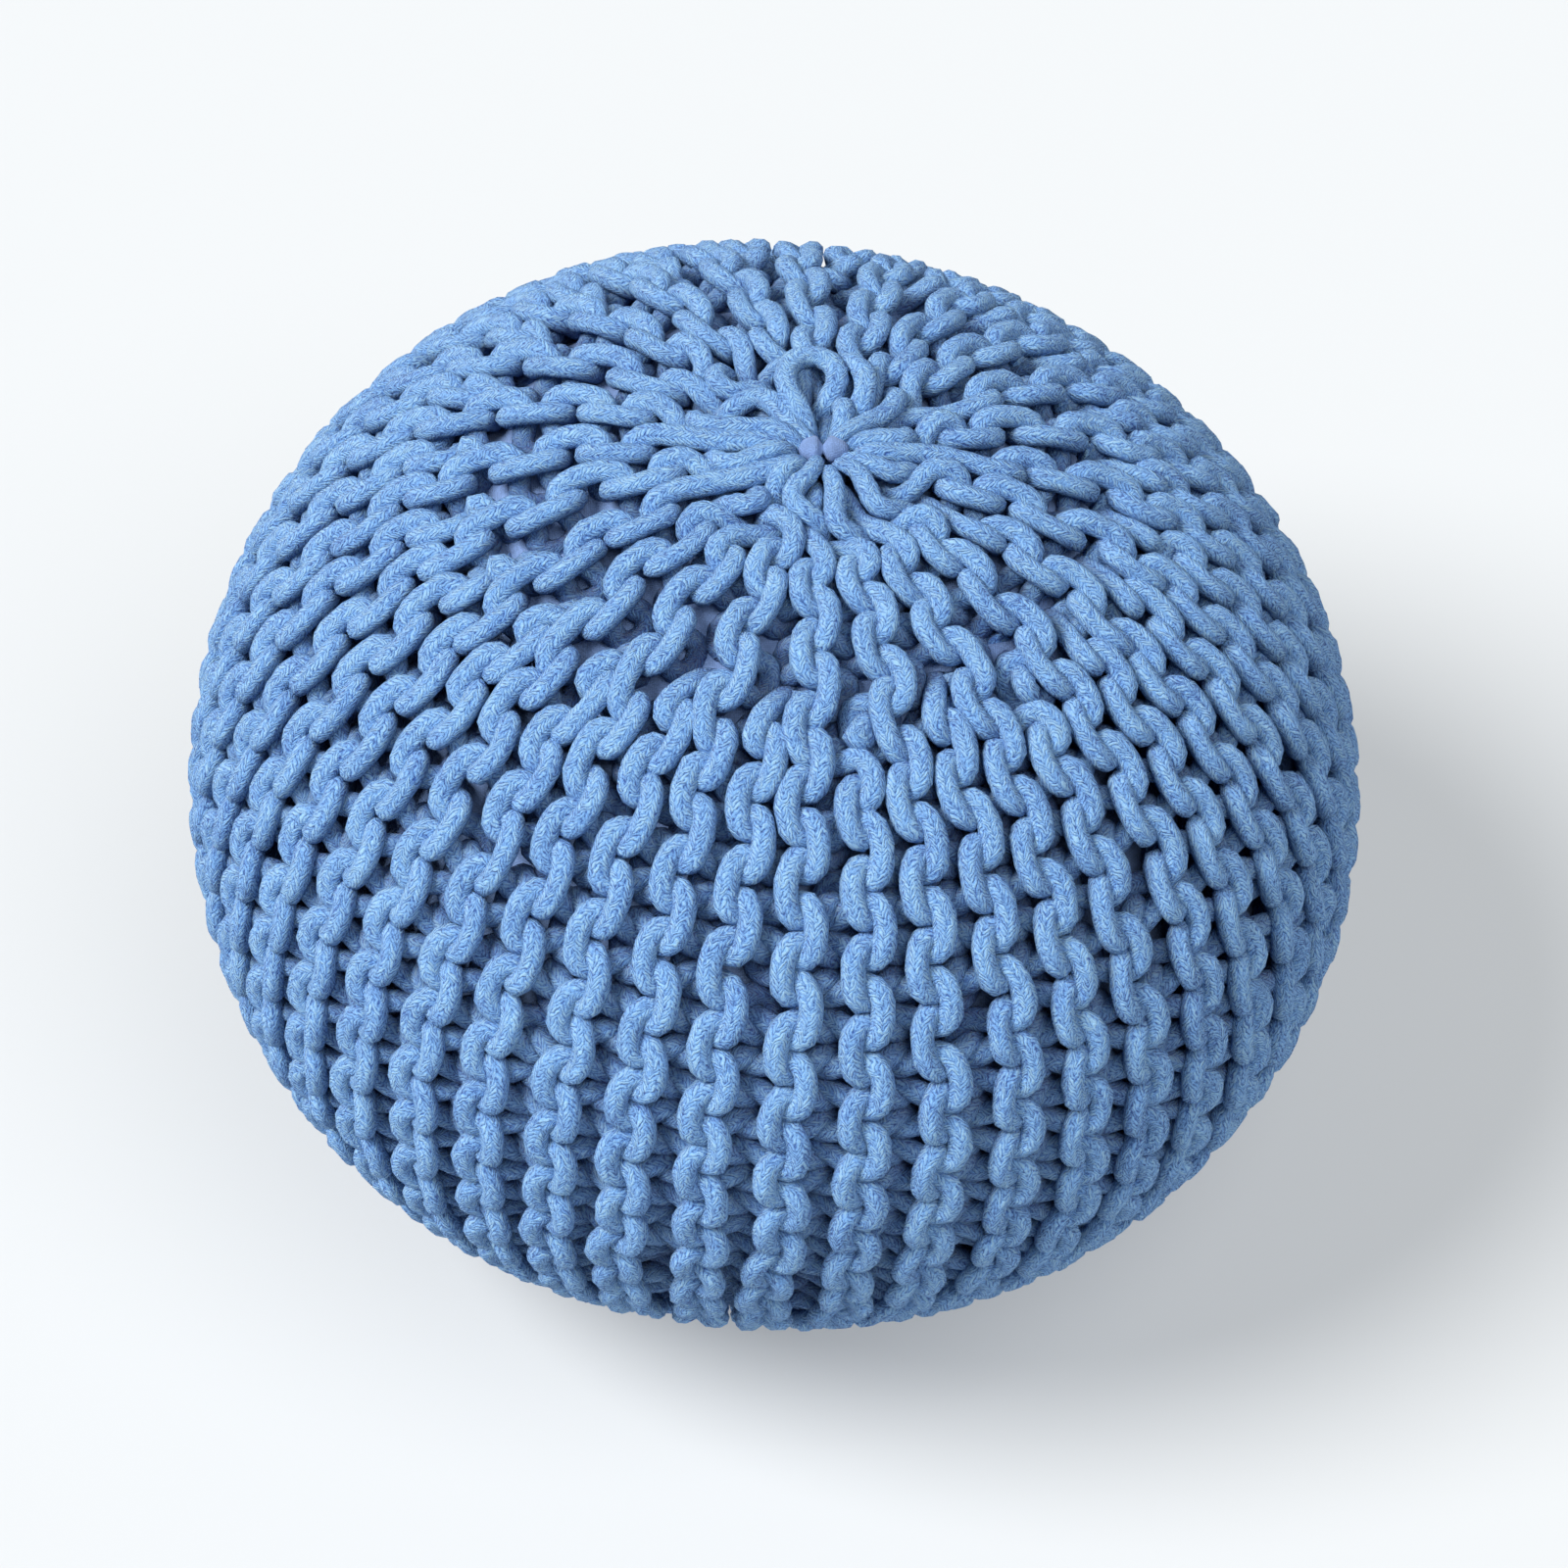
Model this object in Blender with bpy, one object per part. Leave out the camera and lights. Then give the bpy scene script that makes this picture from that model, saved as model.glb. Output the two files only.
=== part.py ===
"""Round knitted pouf: a stuffed cover of thick cotton cord, knitted sideways in garter stitch.

The cover's rows run from the gathered top to the gathered base as raised ribs. A short rib lies
between each two full ones and fades out before it reaches a gather. Metres, +Z up, the front
faces -Y, and the origin is on the floor under the middle of the pouf.
"""
import math

import bmesh
import bpy
import numpy as np

# Driving dimensions. Lengths are in metres, angles in degrees.
WIDTH = 0.417             # across the rib tops at the girth
CROWN_RISE = 0.174        # from the girth up to the rib tops at the crown
GIRTH_HEIGHT = 0.160      # from the floor up to the girth, with the stuffing settled
FLOOR_EASE = 0.008        # height over which the flank rolls into the flat base

FULL_RIBS = 24            # ribs that run from gather to gather; as many short ones lie between
RIB_DEPTH = 0.008         # from a rib's top down into the valley beside it
RIB_SHARPNESS = 0.6       # below 1 rounds the rib and narrows the valley
RIB_FADE = (0.012, 0.060)         # distance from a gather where the full ribs rise
SHORT_RIB_FADE = (0.095, 0.135)   # distance from a gather where the short ribs rise

GATHER_DEPTH = 0.010      # how far the drawn-in cords sink at the top
GATHER_RADIUS = (0.006, 0.027)    # flat floor of the sunk gather, and its rim
TOP_TILT = (-1.0, 5.0)    # turn of the knitting about X and Y at the top gather
BODY_TILT = (-5.4, 3.9)   # and of its ribs from the shoulder down
TILT_FADE = (0.0, 0.120)  # distance from the top gather over which one becomes the other

# Where the stuffing makes the round uneven: azimuth from the front towards +X, elevation, radius
# in degrees, and height.
UNEVEN = (
    # azimuth, elevation, radius, height
    (-140.0, 28.0, 46.0, 0.0075),     # fuller shoulder at the back left
    (-5.0, -25.0, 28.0, -0.0035),     # flatter front flank
)
MIDDLE = (0.00105, -0.00239)  # X and Y of the round's own centre, which the fuller shoulder moves

COLUMNS_PER_RIB = 4
RINGS = 30
RING_CROWDING = 0.6       # 0 spaces the rings evenly, towards 1 crowds them at the gathers

CORD = 0.0092             # width of the knitting cord
GAP = 0.0003              # between pieces that touch
WELD = 0.00001            # closes a tube's end caps

CASE_LOBES = (0.0082, 0.0045, 0.0042)  # half sizes of the cloth that shows in the gather
CASE_PLEAT = (0.0018, 0.35)            # half width of the pleat between its lobes, and its depth

# The closing cord's visible loop behind the gather: X and Y from the gather's centre.
LOOP_ROUTE = (
    # right, back
    (-0.0030, 0.0125),
    (-0.0085, 0.0200),
    (-0.0112, 0.0275),
    (-0.0080, 0.0355),
    (0.0010, 0.0390),
    (0.0095, 0.0370),
    (0.0150, 0.0300),
    (0.0140, 0.0215),
    (0.0085, 0.0145),
)
LOOP_LIFT = 0.0005        # the loop's centreline above the rib tops, with the cords parted for it
LOOP_STEPS = 3            # tube sections for each stretch of the route
TUBE_RESOLUTION = 3

ELLIPSE_STEPS = 4000


def smooth_step(value, span):
    """0 before the span, 1 after it, and a smooth rise between."""
    t = np.clip((value - span[0]) / (span[1] - span[0]), 0.0, 1.0)
    return t * t * (3.0 - 2.0 * t)


def meridian():
    """Arc length from the top, radius and height along the unsettled round's half outline."""
    angle = np.linspace(math.pi / 2, -math.pi / 2, ELLIPSE_STEPS)
    radius = WIDTH / 2 * np.cos(angle)
    height = CROWN_RISE * np.sin(angle)
    steps = np.hypot(np.diff(radius), np.diff(height))
    return np.concatenate([[0.0], np.cumsum(steps)]), radius, height


ARC, ARC_RADIUS, ARC_HEIGHT = meridian()
ARC_LENGTH = ARC[-1]


def tilted(points, about_x, about_y):
    """The points turned about X, then about Y, by angles given for each point in degrees."""
    a, b = np.radians(about_x), np.radians(about_y)
    x, y, z = points.T
    y, z = y * np.cos(a) - z * np.sin(a), y * np.sin(a) + z * np.cos(a)
    x, z = x * np.cos(b) + z * np.sin(b), z * np.cos(b) - x * np.sin(b)
    return np.stack([x, y, z], axis=1)


def direction(longitude, arc):
    """Unit vectors from the round's centre to a place on the knitting."""
    radius, height = np.interp(arc, ARC, ARC_RADIUS), np.interp(arc, ARC, ARC_HEIGHT)
    points = np.stack([radius * np.sin(longitude), -radius * np.cos(longitude), height], axis=1)
    share = smooth_step(arc, TILT_FADE)
    about_x = TOP_TILT[0] + share * (BODY_TILT[0] - TOP_TILT[0])
    about_y = TOP_TILT[1] + share * (BODY_TILT[1] - TOP_TILT[1])
    points = tilted(points, about_x, about_y)
    return points / np.linalg.norm(points, axis=1)[:, None]


def reach(ways):
    """Distance from the centre to the rib tops in the directions given."""
    level, up = ways[:, 0] ** 2 + ways[:, 1] ** 2, ways[:, 2] ** 2
    out = 1.0 / np.sqrt(level / (WIDTH / 2) ** 2 + up / CROWN_RISE ** 2)
    for azimuth, elevation, radius, height in UNEVEN:
        a, e = math.radians(azimuth), math.radians(elevation)
        centre = np.array([math.cos(e) * math.sin(a), -math.cos(e) * math.cos(a), math.sin(e)])
        away = 2.0 * (1.0 - ways @ centre) / math.radians(radius) ** 2
        out += height * np.exp(-away)
    return out


def settled(height):
    """Heights above the floor, with what would be under it pressed flat onto it."""
    eased = np.clip(height + FLOOR_EASE, 0.0, None) ** 2 / (4.0 * FLOOR_EASE)
    return np.where(height > FLOOR_EASE, height, eased)


def surface(longitude, arc, lift):
    """Points of the pouf at a longitude and an arc length from the top, lifted off the rib tops."""
    ways = direction(longitude, arc)
    points = ways * (reach(ways) + lift)[:, None]
    points += np.array([MIDDLE[0], MIDDLE[1], GIRTH_HEIGHT])
    points[:, 2] = settled(points[:, 2])
    return points


def valley(longitude, ribs):
    """0 on the tops of evenly spaced ribs, 1 in the valleys between them."""
    return 1.0 - np.abs(np.cos(longitude * ribs / 2.0)) ** RIB_SHARPNESS


def relief(longitude, arc):
    """Height of the cover below its rib tops: the valleys, and the sunk gather at the top."""
    from_gather = np.minimum(arc, ARC_LENGTH - arc)
    short = smooth_step(from_gather, SHORT_RIB_FADE)
    wide = valley(longitude, FULL_RIBS)
    narrow = valley(longitude, 2 * FULL_RIBS)
    ribs = RIB_DEPTH * smooth_step(from_gather, RIB_FADE) * (wide + short * (narrow - wide))
    return -ribs - GATHER_DEPTH * (1.0 - smooth_step(arc, GATHER_RADIUS))


def place_on_knitting(right, back):
    """Longitude and arc length of a place given by its X and Y from the top gather."""
    return math.atan2(right, -back), math.hypot(right, back)


def material(name, colour, roughness):
    made = bpy.data.materials.new(name)
    made.use_nodes = True
    shader = made.node_tree.nodes["Principled BSDF"]
    shader.inputs["Base Color"].default_value = (*colour, 1.0)
    shader.inputs["Roughness"].default_value = roughness
    shader.inputs["Metallic"].default_value = 0.0
    return made


def add_object(name, mesh, finish, collection):
    made = bpy.data.objects.new(name, mesh)
    mesh.materials.append(finish)
    collection.objects.link(made)
    return made


def sphere_mesh(name, columns, rings):
    """A unit sphere's mesh and its points as an array."""
    cage = bmesh.new()
    bmesh.ops.create_uvsphere(cage, u_segments=columns, v_segments=rings, radius=1.0)
    bmesh.ops.triangulate(cage, faces=cage.faces)
    mesh = bpy.data.meshes.new(name)
    cage.to_mesh(mesh)
    cage.free()
    points = np.zeros(len(mesh.vertices) * 3)
    mesh.vertices.foreach_get("co", points)
    return mesh, points.reshape(-1, 3)


def knit_cover(collection, finish):
    """The stuffed cover as one solid: a sphere's net drawn over the ribbed round."""
    mesh, net = sphere_mesh("knit_cover", 2 * FULL_RIBS * COLUMNS_PER_RIB, RINGS)
    longitude = np.arctan2(net[:, 0], -net[:, 1])
    share = np.arccos(np.clip(net[:, 2], -1.0, 1.0)) / math.pi
    turn = 2.0 * math.pi
    arc = ARC_LENGTH * (share - RING_CROWDING * np.sin(turn * share) / turn)
    points = surface(longitude, arc, relief(longitude, arc))
    mesh.vertices.foreach_set("co", points.ravel())
    mesh.shade_smooth()
    return add_object("knit_cover", mesh, finish, collection)


def gather_floor():
    """Lowest point of the sunk gather."""
    return surface(np.zeros(1), np.zeros(1), np.array([-GATHER_DEPTH]))[0]


def case_pinch(collection, finish):
    """The filling's cloth case where it shows in the gather: two lobes with a pleat between."""
    mesh, net = sphere_mesh("case_pinch", 24, 12)
    points = net * np.array(CASE_LOBES)
    width, depth = CASE_PLEAT
    points[:, 1:] *= 1.0 - depth * np.exp(-(points[:, :1] / width) ** 2)
    points += gather_floor() + np.array([0.0, 0.0, CASE_LOBES[2] + GAP])
    mesh.vertices.foreach_set("co", points.ravel())
    mesh.shade_smooth()
    return add_object("case_pinch", mesh, finish, collection)


def smooth_route(points, steps):
    """Points read from a Catmull-Rom curve through the route's own points."""
    ends = np.vstack([2 * points[0] - points[1], points, 2 * points[-1] - points[-2]])
    t = np.arange(steps)[:, None] / steps
    parts = []
    for before, start, end, after in zip(ends, ends[1:], ends[2:], ends[3:]):
        slope = end - before
        bend = 2 * before - 5 * start + 4 * end - after
        swing = 3 * start - before - 3 * end + after
        parts.append(start + 0.5 * (slope * t + bend * t ** 2 + swing * t ** 3))
    return np.vstack([*parts, points[-1:]])


def loop_tube(name, thickness, collection):
    """A capped tube of the thickness given along the closing loop's route, as a mesh object."""
    places = [place_on_knitting(*point) for point in smooth_route(np.array(LOOP_ROUTE), LOOP_STEPS)]
    longitude, arc = np.array(places).T
    points = surface(longitude, arc, np.full(len(places), LOOP_LIFT))
    curve = bpy.data.curves.new(name, "CURVE")
    curve.dimensions = "3D"
    curve.bevel_depth = thickness / 2
    curve.bevel_resolution = TUBE_RESOLUTION
    curve.use_fill_caps = True
    spline = curve.splines.new("POLY")
    spline.points.add(len(points) - 1)
    for target, point in zip(spline.points, points):
        target.co = (*point, 1.0)
    guide = bpy.data.objects.new(name + "_guide", curve)
    collection.objects.link(guide)
    seen = bpy.context.evaluated_depsgraph_get()
    mesh = bpy.data.meshes.new_from_object(guide.evaluated_get(seen))
    mesh.transform(guide.matrix_world)
    bpy.data.objects.remove(guide, do_unlink=True)
    shell = bmesh.new()
    shell.from_mesh(mesh)
    bmesh.ops.remove_doubles(shell, verts=shell.verts, dist=WELD)
    bmesh.ops.recalc_face_normals(shell, faces=shell.faces)
    shell.to_mesh(mesh)
    shell.free()
    return mesh


def closing_loop(cover, collection, cutters, finish):
    """The closing cord's loop, bedded among the cover's cords behind the gather."""
    tube = loop_tube("closing_loop", CORD, collection)
    bed = bpy.data.objects.new("loop_bed", loop_tube("loop_bed", CORD + 2 * GAP, collection))
    cutters.objects.link(bed)
    bed.hide_render = True
    bed.display_type = "WIRE"
    cut = cover.modifiers.new("loop bed", "BOOLEAN")
    cut.operation = "DIFFERENCE"
    cut.object = bed
    tube.shade_smooth()
    return add_object("closing_loop", tube, finish, collection)


def main():
    for old in list(bpy.data.objects):
        bpy.data.objects.remove(old, do_unlink=True)
    collection = bpy.data.collections.new("knitted_pouf")
    cutters = bpy.data.collections.new("cutters")
    bpy.context.scene.collection.children.link(collection)
    bpy.context.scene.collection.children.link(cutters)
    cord = material("cotton cord", (0.15, 0.32, 0.64), 0.92)
    case_cloth = material("case cloth", (0.20, 0.24, 0.55), 0.85)
    cover = knit_cover(collection, cord)
    case_pinch(collection, case_cloth)
    closing_loop(cover, collection, cutters, cord)


main()
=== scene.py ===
"""Knitted pouf: the looks of a round floor pouf in thick blue cotton cord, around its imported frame."""
import math

import bpy
import numpy as np
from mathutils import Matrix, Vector


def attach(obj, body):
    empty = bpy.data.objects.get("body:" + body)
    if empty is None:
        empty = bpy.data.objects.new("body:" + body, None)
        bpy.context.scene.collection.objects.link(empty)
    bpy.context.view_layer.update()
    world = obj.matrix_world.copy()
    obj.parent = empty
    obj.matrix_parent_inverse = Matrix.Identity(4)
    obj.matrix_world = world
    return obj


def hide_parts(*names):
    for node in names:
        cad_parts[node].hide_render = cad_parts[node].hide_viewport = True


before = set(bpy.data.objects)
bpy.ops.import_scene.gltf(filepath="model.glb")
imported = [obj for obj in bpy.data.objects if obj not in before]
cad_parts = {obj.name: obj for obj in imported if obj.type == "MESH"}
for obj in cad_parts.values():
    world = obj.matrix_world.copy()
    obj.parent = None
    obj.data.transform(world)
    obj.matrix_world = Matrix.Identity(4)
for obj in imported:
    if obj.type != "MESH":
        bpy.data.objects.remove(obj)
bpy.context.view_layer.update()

# ---------------------------------------------------------------------------------------------
# The stuffed round. A fibre filling gives the pouf its shape: a round a little higher than a
# cushion, settled flat on the floor, fuller at the back left and leaner along its front flank.
# Nothing of it is drawn yet: every cord and the case take their places from it.
ROUND_WIDTH = 0.417                 # across the rib tops at the girth
ROUND_RISE = 0.174                  # from the girth up to the rib tops at the crown
ROUND_MIDDLE = (0.00105, -0.00239, 0.160)
FLOOR_EASE = 0.008                  # height over which the flank rolls into the base
ROUND_UNEVEN = (
    # azimuth from the front towards +X, elevation, radius in degrees, height in metres
    (-140.0, 28.0, 46.0, 0.0075),
    (-5.0, -25.0, 28.0, -0.0035),
)
KNIT_TILT = ((-1.0, 5.0), (-5.4, 3.9))  # turn of the knitting about X and Y, at the gather and below
KNIT_TILT_FADE = (0.0, 0.120)       # arc lengths over which one becomes the other
ARC_STEPS = 4000                    # of the half outline's table

arc_angle = np.linspace(math.pi / 2, -math.pi / 2, ARC_STEPS)
arc_radius, arc_height = ROUND_WIDTH / 2 * np.cos(arc_angle), ROUND_RISE * np.sin(arc_angle)
arc_table = np.concatenate([[0.0], np.cumsum(np.hypot(np.diff(arc_radius), np.diff(arc_height)))])
ARC_LENGTH = arc_table[-1]


def smooth_step(value, start, end):
    """0 before start, 1 after end, 3t^2 - 2t^3 between, with t the share of the way."""
    t = np.clip((value - start) / (end - start), 0.0, 1.0)
    return t * t * (3.0 - 2.0 * t)


def on_round(longitude, arc, lift):
    """Points lifted off the stuffed round, as arrays of any one shape, with a last axis for x, y, z.

    The radius and height at an arc length from the top gather are read off the half outline
    and swung to the longitude. The point is turned with the knitting, moved along its own
    direction out to the round, and lifted along the round's normal. What would lie under the
    floor is eased onto it: z becomes (z + e)^2 / 4e for z between -e and e.
    """
    radius, height = np.interp(arc, arc_table, arc_radius), np.interp(arc, arc_table, arc_height)
    x, y, z = radius * np.sin(longitude), -radius * np.cos(longitude), height
    share = smooth_step(arc, *KNIT_TILT_FADE)
    a = np.radians(KNIT_TILT[0][0] + share * (KNIT_TILT[1][0] - KNIT_TILT[0][0]))
    b = np.radians(KNIT_TILT[0][1] + share * (KNIT_TILT[1][1] - KNIT_TILT[0][1]))
    y, z = y * np.cos(a) - z * np.sin(a), y * np.sin(a) + z * np.cos(a)
    x, z = x * np.cos(b) + z * np.sin(b), z * np.cos(b) - x * np.sin(b)
    way = np.stack([x, y, z], axis=-1)
    way /= np.linalg.norm(way, axis=-1, keepdims=True)
    half = ROUND_WIDTH / 2
    reach = 1.0 / np.sqrt((way[..., 0] ** 2 + way[..., 1] ** 2) / half ** 2
                          + way[..., 2] ** 2 / ROUND_RISE ** 2)
    for azimuth, elevation, spread, rise in ROUND_UNEVEN:
        e, turn = math.radians(elevation), math.radians(azimuth)
        centre = np.array([math.cos(e) * math.sin(turn), -math.cos(e) * math.cos(turn), math.sin(e)])
        reach = reach + rise * np.exp(-2.0 * (1.0 - way @ centre) / math.radians(spread) ** 2)
    normal = way * np.array([half ** -2, half ** -2, ROUND_RISE ** -2])
    normal /= np.linalg.norm(normal, axis=-1, keepdims=True)
    point = way * reach[..., None] + np.array(ROUND_MIDDLE)
    level = point[..., 2]
    eased = np.clip(level + FLOOR_EASE, 0.0, None) ** 2 / (4.0 * FLOOR_EASE)
    point[..., 2] = np.where(level > FLOOR_EASE, level, eased)
    return point + normal * np.broadcast_to(lift, level.shape)[..., None]


# ---------------------------------------------------------------------------------------------
# Camera, light and floor. A long lens looks down on the crown. A soft light stands high at the
# left, a weaker and broader one at the front right, and a pale floor and room fill the shadows.
CAMERA_ELEVATION = math.radians(49.3)
CAMERA_DISTANCE = 2.0
CAMERA_LENS = 128.0
CAMERA_AIM = (0.0025, 0.0011)       # from the round's middle, right and up in the picture

look = Vector((0.0, math.cos(CAMERA_ELEVATION), -math.sin(CAMERA_ELEVATION)))
picture_up = Vector((0.0, math.sin(CAMERA_ELEVATION), math.cos(CAMERA_ELEVATION)))
aim = Vector(ROUND_MIDDLE) + Vector((CAMERA_AIM[0], 0.0, 0.0)) + CAMERA_AIM[1] * picture_up
camera_data = bpy.data.cameras.new("camera")
camera_data.lens = CAMERA_LENS
camera = bpy.data.objects.new("camera", camera_data)
camera.location = aim - CAMERA_DISTANCE * look
camera.rotation_euler = look.to_track_quat("-Z", "Y").to_euler()
bpy.context.scene.collection.objects.link(camera)
bpy.context.scene.camera = camera

ROOM_STRENGTH = 0.20
ROOM_COLOUR = (0.88, 0.94, 1.0)
SOFT_LIGHTS = (
    # name, direction that it shines from, strength, angular size in degrees, colour
    ("left skylight", (-0.82, -0.22, 1.06), 4.80, 28.0, (1.0, 0.985, 0.965)),
    ("right skylight", (0.46, -0.56, 1.25), 1.62, 40.0, (1.0, 0.99, 0.98)),
)
for name, shines_from, strength, spread, colour in SOFT_LIGHTS:
    light_data = bpy.data.lights.new(name, "SUN")
    light_data.energy = strength
    light_data.angle = math.radians(spread)
    light_data.color = colour
    light = bpy.data.objects.new(name, light_data)
    light.location = shines_from
    light.rotation_euler = (-Vector(shines_from)).to_track_quat("-Z", "Y").to_euler()
    bpy.context.scene.collection.objects.link(light)

world = bpy.data.worlds.new("room")
world.use_nodes = True
world.node_tree.nodes["Background"].inputs["Color"].default_value = (*ROOM_COLOUR, 1.0)
world.node_tree.nodes["Background"].inputs["Strength"].default_value = ROOM_STRENGTH
bpy.context.scene.world = world
bpy.context.scene.view_settings.view_transform = "Standard"

FLOOR_HALF = 6.0
FLOOR_COLOUR = (0.336, 0.348, 0.357)
FLOOR_ROUGHNESS = 0.75
FLOOR_GLOW = 0.318                  # lifts the floor to the pale studio sweep's level
FLOOR_GLOW_COLOUR = (0.94, 0.975, 1.0)

floor_mesh = bpy.data.meshes.new("floor")
floor_mesh.from_pydata([(-FLOOR_HALF, -FLOOR_HALF, 0), (FLOOR_HALF, -FLOOR_HALF, 0),
                        (FLOOR_HALF, FLOOR_HALF, 0), (-FLOOR_HALF, FLOOR_HALF, 0)], [], [(0, 1, 2, 3)])
floor = bpy.data.objects.new("floor", floor_mesh)
bpy.context.scene.collection.objects.link(floor)
floor_paint = bpy.data.materials.new("pale floor")
floor_paint.use_nodes = True
floor_shader = floor_paint.node_tree.nodes["Principled BSDF"]
floor_shader.inputs["Base Color"].default_value = (*FLOOR_COLOUR, 1.0)
floor_shader.inputs["Emission Color"].default_value = (*FLOOR_GLOW_COLOUR, 1.0)
floor_shader.inputs["Emission Strength"].default_value = FLOOR_GLOW
floor_shader.inputs["Roughness"].default_value = FLOOR_ROUGHNESS
floor_mesh.materials.append(floor_paint)


# ---------------------------------------------------------------------------------------------
# Inner case. The filling sits in a case of fine violet-blue cotton. It shows through the open
# stitches of the crown and as two small lobes in the gathered top.
CASE_DEPTH = 0.0218                 # of the case under the rib tops
CASE_CROWN_RISE = 0.0062            # of the filling between the open crown stitches
CASE_CROWN = ((0.030, 0.060), (0.110, 0.150))    # arc lengths over which that rise comes and goes
CASE_BOTTOM = 0.012                 # height of the case's flat base
CASE_END = 0.0005                   # arc length left open at each end, closed by a cap
CASE_GRID = (192, 96)               # points around and from top to base
CASE_COLOUR = (0.165, 0.265, 0.51)
CASE_SHADES = (0.75, 1.55)          # of that colour: the darker between its slubs and, as painted shade, in the gaps between its threads; the lighter on the slubs
CASE_WEAVE = 0.0007                 # from thread to thread
CASE_WEAVE_RELIEF = 0.0004
CASE_THREAD_GAP_SHADE = 0.7              # weight of the painted shade in the gaps between the threads, in the colour
CASE_SLUB_SCALE = 220.0             # noise cells in a metre


class Socket:
    """An output socket of a shader, on which the arithmetic operators add Math nodes."""

    def __init__(self, tree, socket):
        self.tree = tree
        self.socket = socket

    def math(self, operation, *values):
        node = self.tree.nodes.new("ShaderNodeMath")
        node.operation = operation
        for slot, value in zip(node.inputs, values):
            if isinstance(value, Socket):
                self.tree.links.new(value.socket, slot)
            else:
                slot.default_value = value
        return Socket(self.tree, node.outputs[0])

    def __add__(self, other):
        return self.math("ADD", self, other)

    def __radd__(self, other):
        return self.math("ADD", other, self)

    def __sub__(self, other):
        return self.math("SUBTRACT", self, other)

    def __rsub__(self, other):
        return self.math("SUBTRACT", other, self)

    def __mul__(self, other):
        return self.math("MULTIPLY", self, other)

    def __rmul__(self, other):
        return self.math("MULTIPLY", other, self)

    def __truediv__(self, other):
        return self.math("DIVIDE", self, other)

    def __pow__(self, other):
        return self.math("POWER", self, other)


class Finish:
    """A material under construction: its node tree, its shader, and a way to add any node."""

    def __init__(self, name, roughness, sheen):
        self.material = bpy.data.materials.new(name)
        self.material.use_nodes = True
        self.tree = self.material.node_tree
        self.shader = self.tree.nodes["Principled BSDF"]
        self.shader.inputs["Roughness"].default_value = roughness
        self.shader.inputs["Sheen Weight"].default_value = sheen
        self.shader.inputs["Sheen Roughness"].default_value = 0.5
        self.shader.inputs["Specular IOR Level"].default_value = 0.25

    def node(self, kind, settings=None, inputs=None, output=0):
        """Adds a node: settings first, then values or links for its inputs. A ramp's stops are
        a setting named stops."""
        node = self.tree.nodes.new(kind)
        for key, value in (settings or {}).items():
            if key == "stops":
                ramp = node.color_ramp.elements
                while len(ramp) < len(value):
                    ramp.new(0.5)
                for stop, (place, colour) in zip(ramp, value):
                    stop.position = place
                    stop.color = (*colour, 1.0)
            else:
                setattr(node, key, value)
        for key, value in (inputs or {}).items():
            if isinstance(value, Socket):
                self.tree.links.new(value.socket, node.inputs[key])
            else:
                node.inputs[key].default_value = value
        return Socket(self.tree, node.outputs[output])

    def mix(self, factor, one, other):
        """The colour one where factor is 0, other where it is 1."""
        return self.node("ShaderNodeMix", {"data_type": "RGBA"}, {0: factor, 6: one, 7: other}, 2)

    def feed(self, name, value):
        self.tree.links.new(value.socket, self.shader.inputs[name])


def lofted(name, points):
    """A mesh of rings with capped ends: points is (rows, columns, 3), and vertex (r, c) has index
    r * columns + c. Each face joins it to its neighbours in the next column and row."""
    rows, columns, _ = points.shape
    r, c = np.meshgrid(np.arange(rows - 1), np.arange(columns), indexing="ij")
    near, far, beside = r * columns, (r + 1) * columns, (c + 1) % columns
    faces = np.stack([near + c, near + beside, far + beside, far + c], axis=-1)
    ring = np.arange(columns)
    loops = np.concatenate([faces.ravel(), ring[::-1], ring + (rows - 1) * columns])
    first_loops = np.concatenate([np.arange(0, faces.size, 4), faces.size + np.array([0, columns])])
    mesh = bpy.data.meshes.new(name)
    mesh.vertices.add(rows * columns)
    mesh.vertices.foreach_set("co", points.astype(np.float32).ravel())
    mesh.loops.add(len(loops))
    mesh.loops.foreach_set("vertex_index", loops.astype(np.int32))
    mesh.polygons.add(len(first_loops))
    mesh.polygons.foreach_set("loop_start", first_loops.astype(np.int32))
    mesh.update(calc_edges=True)
    mesh.shade_smooth()
    made = bpy.data.objects.new(name, mesh)
    bpy.context.scene.collection.objects.link(made)
    return made


case_finish = Finish("case cloth", roughness=0.85, sheen=0.15)
case_place = case_finish.node("ShaderNodeTexCoord", output=3)
case_threads = case_finish.node("ShaderNodeTexVoronoi", None,
                                {"Vector": case_place, "Scale": 1.0 / CASE_WEAVE, "Randomness": 0.35})
case_slub = case_finish.node("ShaderNodeTexNoise", None, {
    "Vector": case_place, "Scale": CASE_SLUB_SCALE, "Detail": 3.0})
case_dark, case_light = ([value * shade for value in CASE_COLOUR] + [1.0] for shade in CASE_SHADES)
# The colour is darker between the slubs, and darker in the gaps between the threads as painted shade.
case_finish.feed("Base Color", case_finish.mix(
    case_slub - case_threads * CASE_THREAD_GAP_SHADE, case_dark, case_light))
case_finish.feed("Normal", case_finish.node("ShaderNodeBump", None, {
    "Height": 1.0 - case_threads, "Strength": 0.8, "Distance": CASE_WEAVE_RELIEF}))

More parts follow.
